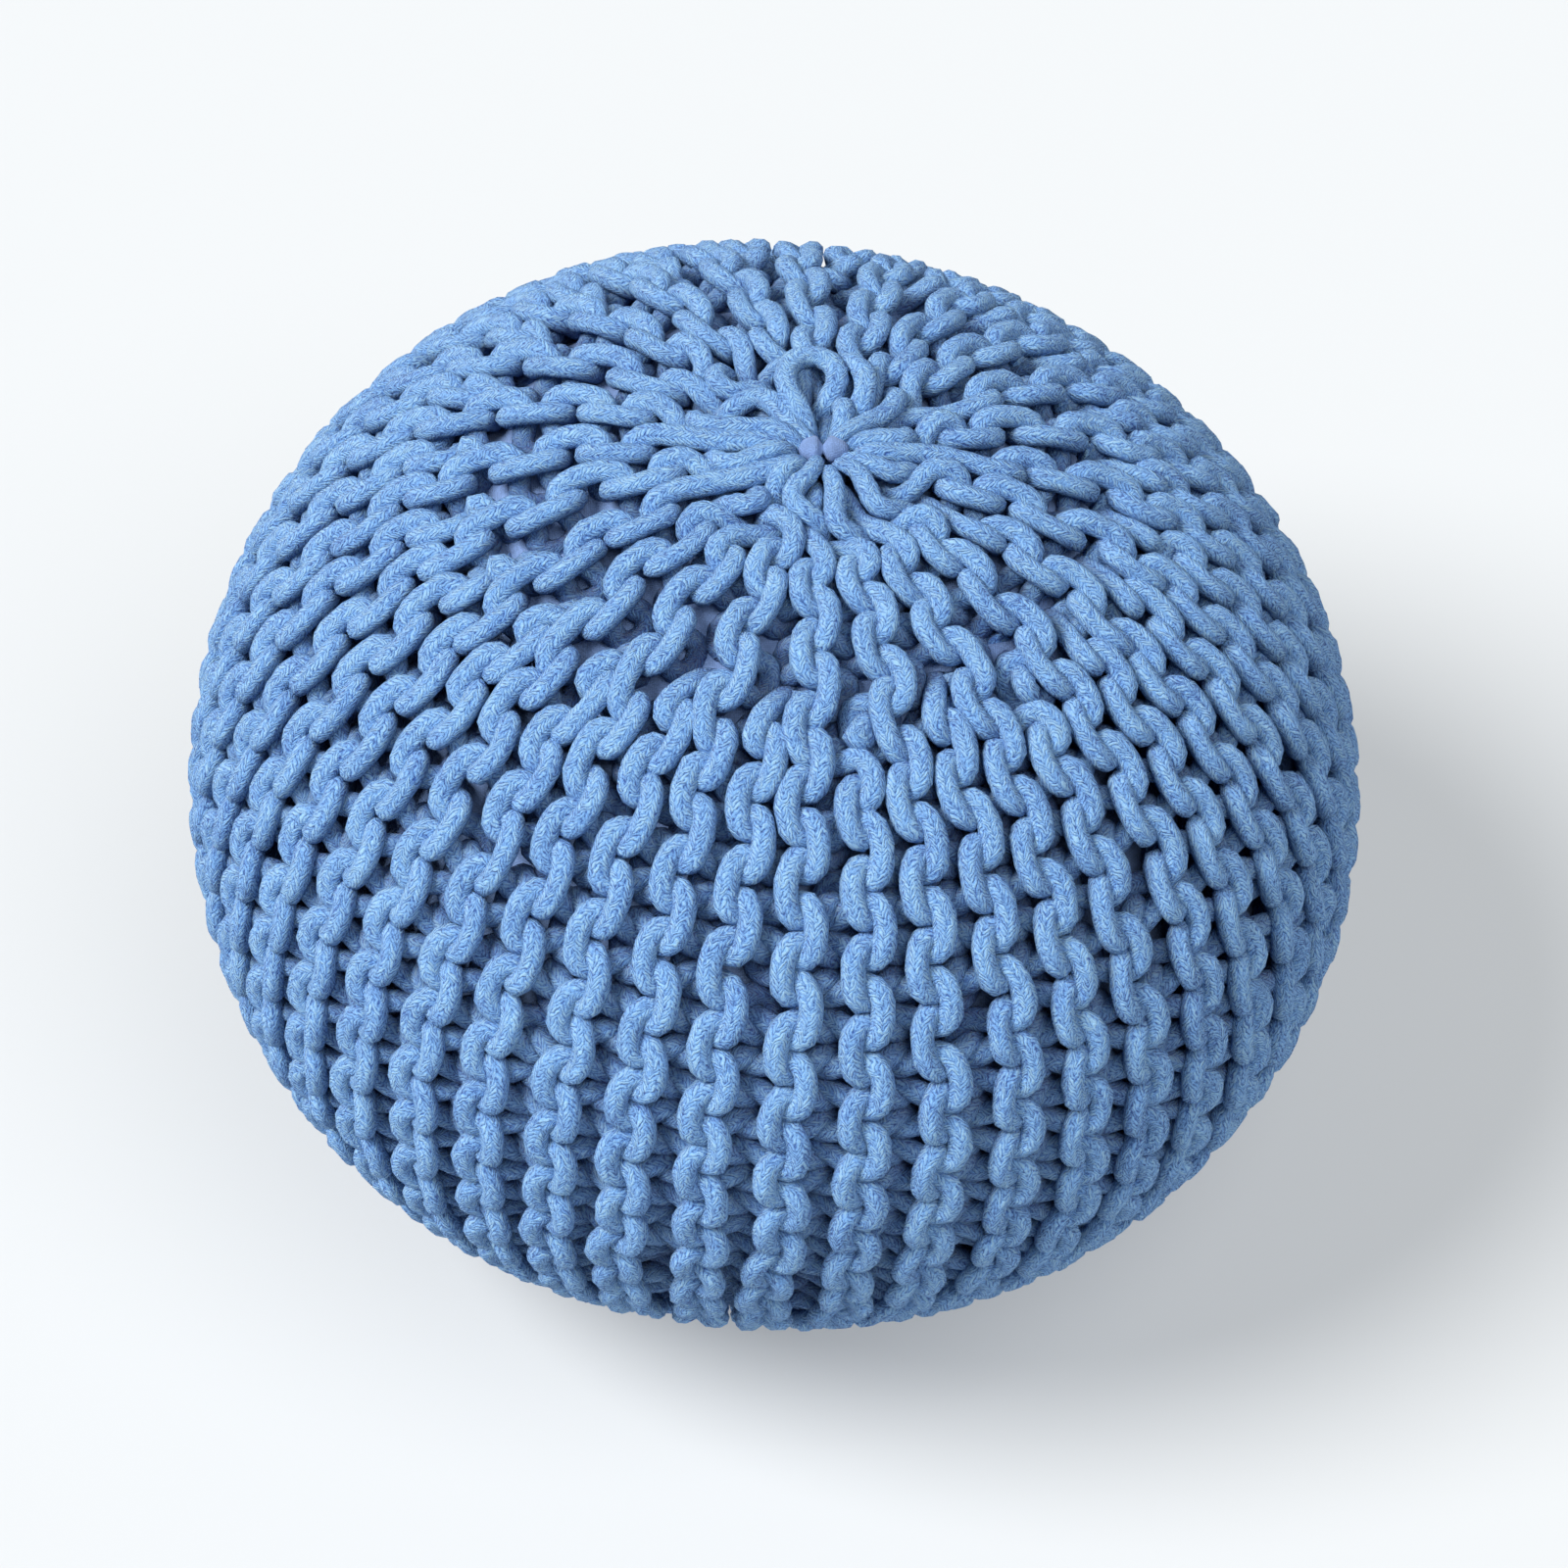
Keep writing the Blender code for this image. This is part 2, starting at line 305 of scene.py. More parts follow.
case_longitude, case_arc = np.meshgrid(np.linspace(0, -2 * math.pi, CASE_GRID[0], endpoint=False),
                                       np.linspace(CASE_END, ARC_LENGTH - CASE_END, CASE_GRID[1]))
case_crown = smooth_step(case_arc, *CASE_CROWN[0]) * (1.0 - smooth_step(case_arc, *CASE_CROWN[1]))
case_points = on_round(case_longitude, case_arc, -(CASE_DEPTH - CASE_CROWN_RISE * case_crown))
case_points[..., 2] = np.maximum(case_points[..., 2], CASE_BOTTOM)
inner_case = lofted("inner_case", case_points)
inner_case.data.materials.append(case_finish.material)
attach(inner_case, "root")
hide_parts("knit_cover")

# The cloth drawn up into the gather: an egg of three half sizes, with a pleat that pinches it in
# at the middle into two lobes.
LOBE_SIZES = (0.0086, 0.0052, 0.0046)
LOBE_PLEAT = (0.0014, 0.70)         # half width of the pleat, and the share that it pinches in
LOBE_LIFT = -0.0052                 # over the rib tops' level at the gather
LOBE_SHIFT = (0.0006, 0.0010, 0.0)
LOBE_GRID = (40, 28)
LOBE_END = 0.02                     # angle left open at the top and bottom, closed by caps

lobe_turn, lobe_rise = np.meshgrid(
    np.linspace(0, -2 * math.pi, LOBE_GRID[0], endpoint=False),
    np.linspace(math.pi / 2 - LOBE_END, -math.pi / 2 + LOBE_END, LOBE_GRID[1]))
lobes = np.stack([np.cos(lobe_rise) * np.cos(lobe_turn), np.cos(lobe_rise) * np.sin(lobe_turn),
                  np.sin(lobe_rise)], axis=-1) * np.array(LOBE_SIZES)
lobes[..., 1:] *= 1.0 - LOBE_PLEAT[1] * np.exp(-(lobes[..., :1] / LOBE_PLEAT[0]) ** 2)
lobes += on_round(np.zeros(1), np.zeros(1), LOBE_LIFT)[0] + np.array(LOBE_SHIFT)
case_pinch = lofted("case_lobes", lobes)
case_pinch.data.materials.append(case_finish.material)
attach(case_pinch, "root")
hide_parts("case_pinch")


# ---------------------------------------------------------------------------------------------
# Knitted cover. One cotton cord, itself a soft braided tube, is knitted sideways in garter
# stitch: each rib is two courses of loops, worked from gather to gather and back. Short ribs
# between the full ones turn back before the gathers.
CORD_WIDTH = 0.0080                 # of the cord's firm core
CORD_FLATNESS = 0.92                # thickness over width
FULL_RIBS = 24                      # as many short ribs lie between them
COURSE_SHIFT = 0.220                # of a rib's two courses from its middle, in rib widths
LOOP_REACH = 0.432                  # of a loop's head and foot from its course, in rib widths
LOOP_LEAN = 0.178                   # how far a loop's two legs lean apart, in stitches
KNIT_DEPTH = 0.0106                 # of the fabric's middle under the rib tops
LOOP_DEPTH = 0.0066                 # of heads and feet from the fabric's middle
LOOP_LAG = 0.015                    # how far a loop's highest point is past its head, in stitches
STITCH = (0.0284, 0.0252)           # along a rib, on the crown and towards the base
STITCH_FADE = (0.200, 0.290)        # arc lengths over which one becomes the other
SIDE_STRETCH = (0.16, 0.06)         # of the crown's stitches on the left and on the right flank
HEAD_AT = 0.1650                    # arc length of one loop head, which sets all others
RIB_WIDEN = (0.060, 0.145)          # arc lengths over which a full rib narrows for a short one
LONG_NARROW = (0.032, 0.062)        # and a long rib for a dipping one
OPEN_FADE = (0.035, 0.085)          # near a gather the loops are pulled wide and straight
OPEN_REACH, OPEN_LEAN = 0.05, 0.5   # what that adds to a loop's reach, and takes off its lean
LONG_START = 0.022                  # arc length where a long rib's stitches begin
DIPPING_START = 0.046               # and a dipping rib's, whose strands run in under the long ones
SHORT_START = 0.104                 # and a short rib's
SHORT_TUCK = 0.42                   # of a short rib's ends towards a neighbour, in rib widths
SHORT_TUCK_FADE = 0.028             # arc length over which it sets in
TURN_SINK = (0.011, 0.026)          # of a short rib's ends under its neighbours, and over how far
GATHER_SHIFT = 0.006                # of a rib's stitches along it near the gathers, at most
GATHER_SHIFT_FADE = (0.03, 0.13)
RIB_SWAY = (0.0010, 0.0006)         # of a whole rib, sideways and along it
RIB_SWAY_POINTS = 22
STITCH_SWAY = (0.0003, 0.0004, 0.0003)    # of each half stitch: sideways, along, in depth
SWAY_FADE = (0.02, 0.08)            # distances from a gather over which the sways set in
SAMPLES = 12                        # along one stitch, while the cords settle

rng = np.random.default_rng(48)
RIB_PITCH = 2.0 * math.pi / FULL_RIBS

stitch_arc = np.linspace(0.0, ARC_LENGTH, ARC_STEPS // 2)
stitch_size = STITCH[0] + (STITCH[1] - STITCH[0]) * smooth_step(stitch_arc, *STITCH_FADE)
stitch_count = np.concatenate([[0.0], np.cumsum(np.diff(stitch_arc) / stitch_size[1:])])
stitch_count -= np.interp(HEAD_AT, stitch_arc, stitch_count)
gather_shift = rng.uniform(-GATHER_SHIFT, GATHER_SHIFT, 2 * FULL_RIBS)
sway_arc = np.linspace(0.0, ARC_LENGTH, RIB_SWAY_POINTS)
rib_sway = rng.normal(0.0, 1.0, (2 * FULL_RIBS, 2, RIB_SWAY_POINTS))


def course(rib, side, start, sink):
    """Longitude, arc, lift and side of the cord along one course, from the top down.

    With t in stitches, the cord's place across the rib is side * COURSE_SHIFT minus
    LOOP_REACH * cos(2 pi t) rib widths, its place along the rib is t - 1/2 plus
    LOOP_LEAN * sin(4 pi t) stitches, and its lift off the fabric's middle is LOOP_DEPTH times
    the same cosine, turned over from one course to the next. Such a wave lies in a tilted
    plane, and its side, -1 or 1, says to which side that leans.
    """
    across = math.sin(RIB_PITCH * rib / 2.0)
    stretch = max(-SIDE_STRETCH[0] * across, SIDE_STRETCH[1] * across)
    counts = stitch_count / (1.0 + stretch * (1.0 - smooth_step(stitch_arc, *STITCH_FADE)))
    first = np.ceil(2.0 * np.interp(start, stitch_arc, counts)) / 2.0
    last = np.floor(2.0 * np.interp(ARC_LENGTH - start, stitch_arc, counts)) / 2.0
    t = np.linspace(first, last, int(round((last - first) * SAMPLES)) + 1) + 0.5
    wave = np.cos(2.0 * math.pi * t)
    arc = np.interp(t - 0.5, counts, stitch_arc)
    near = 1.0 - smooth_step(np.minimum(arc, ARC_LENGTH - arc), *OPEN_FADE)
    lean = LOOP_LEAN * (1.0 - OPEN_LEAN * near)
    reach = LOOP_REACH + OPEN_REACH * near
    arc = np.interp(t - 0.5 + lean * np.sin(4.0 * math.pi * t), counts, stitch_arc)
    arc = arc + gather_shift[rib] * (1.0 - smooth_step(arc, *GATHER_SHIFT_FADE))
    from_gather = np.minimum(arc, ARC_LENGTH - arc)
    narrow = 0.5 * smooth_step(from_gather, *RIB_WIDEN)
    wide = 1.0 - smooth_step(from_gather, *LONG_NARROW)
    width = narrow if rib % 2 else (1.0 - narrow) * (1.0 + (wide if rib % 4 else -wide))
    tuck = SHORT_TUCK * (rib % 2) * (1.0 - smooth_step(from_gather, start, start + SHORT_TUCK_FADE))
    longitude = RIB_PITCH * (rib / 2.0 + tuck + width * (side * COURSE_SHIFT - reach * wave))
    lift = side * LOOP_DEPTH * np.cos(2.0 * math.pi * (t - LOOP_LAG)) - KNIT_DEPTH
    lift -= sink[0] * (1.0 - smooth_step(from_gather, start, start + sink[1]))
    halves = np.arange(math.floor(2 * t[0]) - 1, math.ceil(2 * t[-1]) + 2)
    own = rng.normal(0.0, 1.0, (3, len(halves)))
    sway = [np.interp(2 * t, halves, run) * size for run, size in zip(own, STITCH_SWAY)]
    aside = np.interp(arc, sway_arc, rib_sway[rib, 0]) * RIB_SWAY[0] + sway[0]
    onward = np.interp(arc, sway_arc, rib_sway[rib, 1]) * RIB_SWAY[1] + sway[1]
    firm = smooth_step(from_gather, *SWAY_FADE)
    longitude = longitude + firm * aside / (ROUND_WIDTH / 2 * np.sin(math.pi * arc / ARC_LENGTH))
    arc = arc + firm * onward
    lift = lift + firm * sway[2]
    return np.stack([longitude, arc, lift, np.full_like(arc, side)], axis=-1)


BRIDGE_STEPS = 5                    # samples where a short rib's cord turns back
BRIDGE_PULL = 0.6


def bridge(start, before, end, after, steps):
    """Samples between two ends of courses: the cubic that leaves start and meets end along the
    steps to their own neighbours, BRIDGE_PULL times as fast."""
    t = np.linspace(0.0, 1.0, steps + 2)[1:-1, None]
    out, back = (start - before) * steps * BRIDGE_PULL, (after - end) * steps * BRIDGE_PULL
    return ((2 * t ** 3 - 3 * t ** 2 + 1) * start + (t ** 3 - 2 * t ** 2 + t) * out
            + (3 * t ** 2 - 2 * t ** 3) * end + (t ** 3 - t ** 2) * back)


TOP_PETALS = (
    # the full ribs whose last strand lies on top at the gather: rib, strand, both as azimuths
    # in degrees from the front towards +X
    (-15, -20), (15, 16), (45, 53), (75, 73), (90, 92), (105, 112), (135, 131),
    (-135, -142), (-105, -113), (-90, -95), (-75, -78), (-60, -62), (-45, -45),
)
BASE_PETALS = {azimuth: azimuth for azimuth in range(-165, 181, 30)}
MOUTH = (0.0090, 0.0064)            # half the gather's opening, across and from front to back
PETAL_LIFT, UNDER_LIFT = -0.0050, -0.0150   # of a strand on top at the mouth, and of one below
UNDER_STEP = 0.0035                 # from the upper to the lower strand of one rib there
UNDER_SPREAD = 4.0                  # degrees between such a strand and its rib's azimuth
SWING_SHARE = 0.7                   # of the way in, over which a strand swings to its place
RISE_SHARE, SINK_SHARE = 0.5, 0.3   # and over which one on top rises, or one below sinks
STRAND_STEP = 0.005                 # between a strand's samples
MOUTH_DROP = 0.024                  # of a strand's hidden end into the mouth
MOUTH_DROP_STEPS = 5
MOUTH_DROP_IN = 0.2                 # share of its way to the middle that the end goes meanwhile


def gather_end(first, top, rib, side):
    """The cord's way from a course's first sample into a gather: it runs in along its rib, swings
    to its own place at the mouth, a half ellipse away from the middle, and drops in there."""
    azimuth = (rib * 180.0 / FULL_RIBS + 180.0) % 360.0 - 180.0
    petals = dict(TOP_PETALS) if top else BASE_PETALS
    over = azimuth in petals and first[2] > -KNIT_DEPTH
    own = math.radians(petals[azimuth] if over else azimuth + UNDER_SPREAD * side)
    own += RIB_PITCH * FULL_RIBS * round((first[0] - own) / (RIB_PITCH * FULL_RIBS))
    arc_in = first[1] if top else ARC_LENGTH - first[1]
    reach_in = 1.0 / math.hypot(math.sin(own) / MOUTH[0], math.cos(own) / MOUTH[1])
    depth = PETAL_LIFT if over else UNDER_LIFT - UNDER_STEP * (first[2] < -KNIT_DEPTH)
    run = max(3, int(round((arc_in - reach_in) / STRAND_STEP)))
    t = np.linspace(0.0, 1.0, run + 1)[1:]
    arc = arc_in + (reach_in - arc_in) * t
    longitude = first[0] + (own - first[0]) * smooth_step(t, 0.0, SWING_SHARE)
    lift = first[2] + (depth - first[2]) * smooth_step(t, 0.0, RISE_SHARE if over else SINK_SHARE)
    drop = np.linspace(0.0, 1.0, MOUTH_DROP_STEPS + 1)[1:]
    arc = np.concatenate([arc, reach_in * (1.0 - MOUTH_DROP_IN * drop)])
    longitude = np.concatenate([longitude, np.full(MOUTH_DROP_STEPS, own)])
    lift = np.concatenate([lift, depth - MOUTH_DROP * drop])
    arc = arc if top else ARC_LENGTH - arc
    return np.stack([longitude, arc, lift, np.full_like(arc, side)], axis=-1)


NO_SINK = (0.0, 0.01)               # full ribs stay level where the short ribs' ends go under

cords = []
for rib in range(2 * FULL_RIBS):
    if rib % 2:
        down = course(rib, -1, SHORT_START, TURN_SINK)
        up = course(rib, 1, SHORT_START, TURN_SINK)[::-1]
        low_turn = bridge(down[-1], down[-2], up[0], up[1], BRIDGE_STEPS)
        high_turn = bridge(up[-1], up[-2], down[0], down[1], BRIDGE_STEPS)
        cords.append(np.concatenate([down, low_turn, up, high_turn, down[:1]]))
    else:
        start = LONG_START if rib % 4 else DIPPING_START
        for side in (-1, 1):
            run = course(rib, side, start, NO_SINK)
            top_end = gather_end(run[0], True, rib, side)[::-1]
            low_end = gather_end(run[-1], False, rib, side)
            cords.append(np.concatenate([top_end, run, low_end]))

# Closing cord. The end of the same cord laces the last rib to the first and is drawn tight: it
# rises out of the mouth, lies in a curl and an arc over the strands behind it, and goes down
# between them.
CLOSING_ROUTES = (
    # right of the gather, behind it, lift, for points along each visible stretch
    ((-0.0030, 0.0060, -0.0190), (-0.0035, 0.0085, -0.0085), (-0.0062, 0.0140, -0.0030),
     (-0.0096, 0.0200, -0.0010), (-0.0117, 0.0268, 0.0000), (-0.0102, 0.0335, 0.0003),
     (-0.0052, 0.0380, 0.0005), (0.0012, 0.0385, 0.0005), (0.0055, 0.0345, -0.0002),
     (0.0060, 0.0290, -0.0022), (0.0030, 0.0240, -0.0070), (0.0010, 0.0215, -0.0140)),
    ((0.0030, 0.0410, -0.0110), (0.0070, 0.0402, -0.0045), (0.0118, 0.0375, -0.0008),
     (0.0152, 0.0320, 0.0003), (0.0156, 0.0260, -0.0008), (0.0134, 0.0205, -0.0050),
     (0.0122, 0.0180, -0.0120)),
    ((0.0045, 0.0055, -0.0180), (0.0058, 0.0080, -0.0075), (0.0070, 0.0125, -0.0030),
     (0.0080, 0.0175, -0.0028), (0.0076, 0.0225, -0.0065), (0.0072, 0.0245, -0.0140)),
)
CLOSING_STEP = 0.0048               # between the samples along it
ROUTE_STEPS = 40                    # between two points of a route, before it is sampled evenly


def laid(route):
    """Samples an even step apart on the smooth curve through a route's points, as longitude, arc,
    lift and side. Each pair is joined by a cubic whose slope at a point is half the way from the
    point before it to the point after it."""
    points = np.array(route)
    slopes = np.gradient(points, axis=0)
    s = np.linspace(0.0, 1.0, ROUTE_STEPS, endpoint=False)[None, :, None]
    a, b, u, v = points[:-1, None], points[1:, None], slopes[:-1, None], slopes[1:, None]
    fine = ((2 * s ** 3 - 3 * s ** 2 + 1) * a + (s ** 3 - 2 * s ** 2 + s) * u
            + (3 * s ** 2 - 2 * s ** 3) * b + (s ** 3 - s ** 2) * v).reshape(-1, 3)
    run = np.concatenate([[0.0], np.cumsum(np.linalg.norm(np.diff(fine, axis=0), axis=-1))])
    even = np.linspace(0.0, run[-1], int(round(run[-1] / CLOSING_STEP)) + 1)
    right, back, lift = (np.interp(even, run, fine[:, k]) for k in range(3))
    return np.stack([np.arctan2(right, -back), np.hypot(right, back), lift, 0.0 * lift], axis=-1)


knit_cords = len(cords)
cords += [laid(route) for route in CLOSING_ROUTES]

sizes = np.array([len(cord) for cord in cords])
ends = np.cumsum(sizes)
starts = ends - sizes
longitude, arc, lift, lean_side = np.concatenate(cords).T
total = len(arc)
index = np.arange(total)
cord_of = np.repeat(np.arange(len(cords)), sizes)
before = np.maximum(index - 1, starts[cord_of])
after = np.minimum(index + 1, ends[cord_of] - 1)

# Where each sample lies, which way its cord's flat side faces, and how thick the cord is there:
# it is drawn thinner where the stitches give way to straight strands, and more at the mouth.
LOOP_FACING = (0.84, 0.54)          # of a loop's flat side, outward and to the side that it leans
STRAND_THIN, STRAND_THIN_FADE = 0.06, (0.06, 0.16)
MOUTH_THIN, MOUTH_THIN_FADE = 0.26, (0.006, 0.024)
PROBE_LIFT, PROBE_TURN = 0.001, 1e-4    # small steps that show which way is outward and sideways

place = on_round(longitude, arc, lift)
outward = on_round(longitude, arc, lift + PROBE_LIFT) - place
outward /= np.linalg.norm(outward, axis=-1, keepdims=True)
sideways = on_round(longitude + PROBE_TURN, arc, lift) - place
sideways /= np.linalg.norm(sideways, axis=-1, keepdims=True) + 1e-12
facing = LOOP_FACING[0] * outward + LOOP_FACING[1] * lean_side[:, None] * sideways

from_gather = np.minimum(arc, ARC_LENGTH - arc)
thick = 1.0 - STRAND_THIN * (1.0 - smooth_step(from_gather, *STRAND_THIN_FADE))
thick -= MOUTH_THIN * (1.0 - smooth_step(from_gather, *MOUTH_THIN_FADE))
radius = CORD_WIDTH / 2 * thick


def close_pairs(points, reach):
    """Pairs of points less than reach apart. Points are binned in cells of that size, the cells
    are numbered and sorted, and each point is paired with those in its own and 13 more cells."""
    cell = np.floor(points / reach).astype(np.int64)
    cell -= cell.min(axis=0) - 1
    span = cell.max(axis=0) + 2
    number = (cell[:, 0] * span[1] + cell[:, 1]) * span[2] + cell[:, 2]
    order = np.argsort(number, kind="stable")
    ranked = number[order]
    steps = [(0, 0, 0), (0, 0, 1)] + [(0, 1, k) for k in (-1, 0, 1)]
    steps += [(1, j, k) for j in (-1, 0, 1) for k in (-1, 0, 1)]
    found = []
    for dx, dy, dz in steps:
        other = number + (dx * span[1] + dy) * span[2] + dz
        low, high = np.searchsorted(ranked, other, "left"), np.searchsorted(ranked, other, "right")
        count = high - low
        one = np.repeat(np.arange(len(points)), count)
        offset = np.arange(count.sum()) - np.repeat(np.cumsum(count) - count, count)
        two = order[np.repeat(low, count) + offset]
        near = np.linalg.norm(points[one] - points[two], axis=-1) < reach
        if dx == dy == dz == 0:
            near &= one < two
        found.append(np.stack([one[near], two[near]]))
    return np.concatenate(found, axis=1)


# Settling. Where the cords cross they are pushed apart, a share of the way at each step, while
# each keeps its length, bends gently, stays near its place and lies between case and rib tops.
SETTLE_ROUNDS = 6                   # in each, close pairs are looked up once
SETTLE_STEPS = 12
PAIR_REACH = 0.0125                 # between samples that may touch before the next round
PAIR_SKIP = 3                       # samples along one cord that are too near to count as a pair
PAIR_ROOM = 0.94                    # of two cords' radii, kept between their middles
PUSH_SHARE, PULL_SHARE, SMOOTH_SHARE = 0.30, 0.35, 0.20
HOLD_SHARE = (0.03, 0.5)            # of the way back to its place, for the knitting and the closing
SETTLE_DEEPEST = 0.0212             # of a cord's inner side under the rib tops
CLOSING_LIFT = 0.001                # of the closing cord's middle over them, at most
MOUTH_FREE = 0.02                   # arc length at a gather where a cord may lie at any depth

length_kept = np.linalg.norm(place[after] - place, axis=-1)
hold = np.where(cord_of < knit_cords, *HOLD_SHARE)[:, None]
highest = np.where(cord_of < knit_cords, -radius, CLOSING_LIFT)
bound = ((arc > MOUTH_FREE) * (arc < ARC_LENGTH - MOUTH_FREE))[:, None]
moved = place
for settle_round in range(SETTLE_ROUNDS):
    one, two = close_pairs(moved, PAIR_REACH)
    apart = (cord_of[one] != cord_of[two]) | (np.abs(one - two) > PAIR_SKIP)
    one, two = one[apart], two[apart]
    room = (radius[one] + radius[two]) * PAIR_ROOM
    for settle_step in range(SETTLE_STEPS):
        gap = moved[one] - moved[two]
        distance = np.linalg.norm(gap, axis=-1)
        push = np.clip(room - distance, 0.0, None) * PUSH_SHARE / np.maximum(distance, 1e-5)
        shift = np.stack([np.bincount(one, push * gap[:, k], total)
                          - np.bincount(two, push * gap[:, k], total) for k in range(3)], axis=-1)
        moved = moved + shift
        ahead = moved[after] - moved
        length = np.linalg.norm(ahead, axis=-1)
        pull = ahead * ((length - length_kept) / np.maximum(length, 1e-6) * PULL_SHARE)[:, None]
        pull[after == index] = 0.0
        moved = moved + pull
        moved[after] -= pull
        middle = (moved[before] + moved[after]) / 2 - moved
        middle[(before == index) | (after == index)] = 0.0
        sharp = middle - (middle[before] + middle[after]) / 2
        moved = moved + SMOOTH_SHARE * sharp
        moved = moved + hold * (place - moved)
        level = ((moved - place) * outward).sum(-1) + lift
        allowed = np.clip(level, radius - SETTLE_DEEPEST, highest)
        moved = moved + outward * (allowed - level)[:, None] * bound
        moved[:, 2] = np.maximum(moved[:, 2], radius * CORD_FLATNESS)


# The settled cords as tubes. The samples get points between them, and each point a ring.
FLOOR_GAP = 0.0002                  # left between the cord and the floor
REFINE = 2                          # points for each sample
SIDES = 10                          # of a ring
CORD_SWELL = 1.07                   # of the mesh past the firm core that the settling keeps apart
CORD_LUMPS = 0.055                  # spread of the radius from point to point, as a share of it
LUMP_LIMIT = 1.6                    # such spreads, at most
ROW_SLACK = 1.0005                  # keeps the last point of a layout row in that row
ROW_SPARE = 0.008                   # length of cord that a layout row has room for at its end
ROW_MARGINS = (0.002, 0.02)         # of the layout: at its two sides, and between rows in row heights

cord_table = np.concatenate([moved, facing, radius[:, None], -level[:, None]], axis=1)


def refined(values, begin, end):
    """Points put between the samples a, b, c, d of one cord, on the cubic from b to c: at a share
    s of the way, half of (2 b + (c - a) s + (2 a - 5 b + 4 c - d) s^2 + (3 b - a - 3 c + d) s^3)."""
    share = np.arange(REFINE)[None, :, None] / REFINE
    here = np.arange(begin, end - 1)
    neighbours = (before[here], here, after[here], after[after[here]])
    a, b, c, d = (values[which][:, None, :] for which in neighbours)
    filled = 0.5 * (2 * b + (c - a) * share + (2 * a - 5 * b + 4 * c - d) * share ** 2
                    + (3 * b - a - 3 * c + d) * share ** 3)
    return np.concatenate([filled.reshape(-1, values.shape[-1]), values[end - 1:end]])


def cord_rings(line, facing, half_width):
    """Rings round a line: one axis of each ring is the facing made square to the tangent, the
    other is square to both, and the ring is an ellipse on them. Each point's radius is half_width
    times CORD_SWELL plus CORD_LUMPS times a normal draw that is cut off at LUMP_LIMIT."""
    tangent = np.gradient(line, axis=0)
    tangent /= np.linalg.norm(tangent, axis=-1, keepdims=True)
    out = facing - tangent * (facing * tangent).sum(-1, keepdims=True)
    out /= np.linalg.norm(out, axis=-1, keepdims=True)
    across = np.cross(out, tangent)
    turn = np.linspace(0.0, 2.0 * math.pi, SIDES, endpoint=False)
    lumps = rng.normal(0.0, 1.0, (len(line), SIDES, 1)).clip(-LUMP_LIMIT, LUMP_LIMIT)
    lumps = CORD_SWELL + CORD_LUMPS * lumps
    return line[:, None, :] + half_width[:, None, None] * lumps * (
        np.cos(turn)[:, None] * across[:, None, :]
        + np.sin(turn)[:, None] * out[:, None, :] * CORD_FLATNESS)


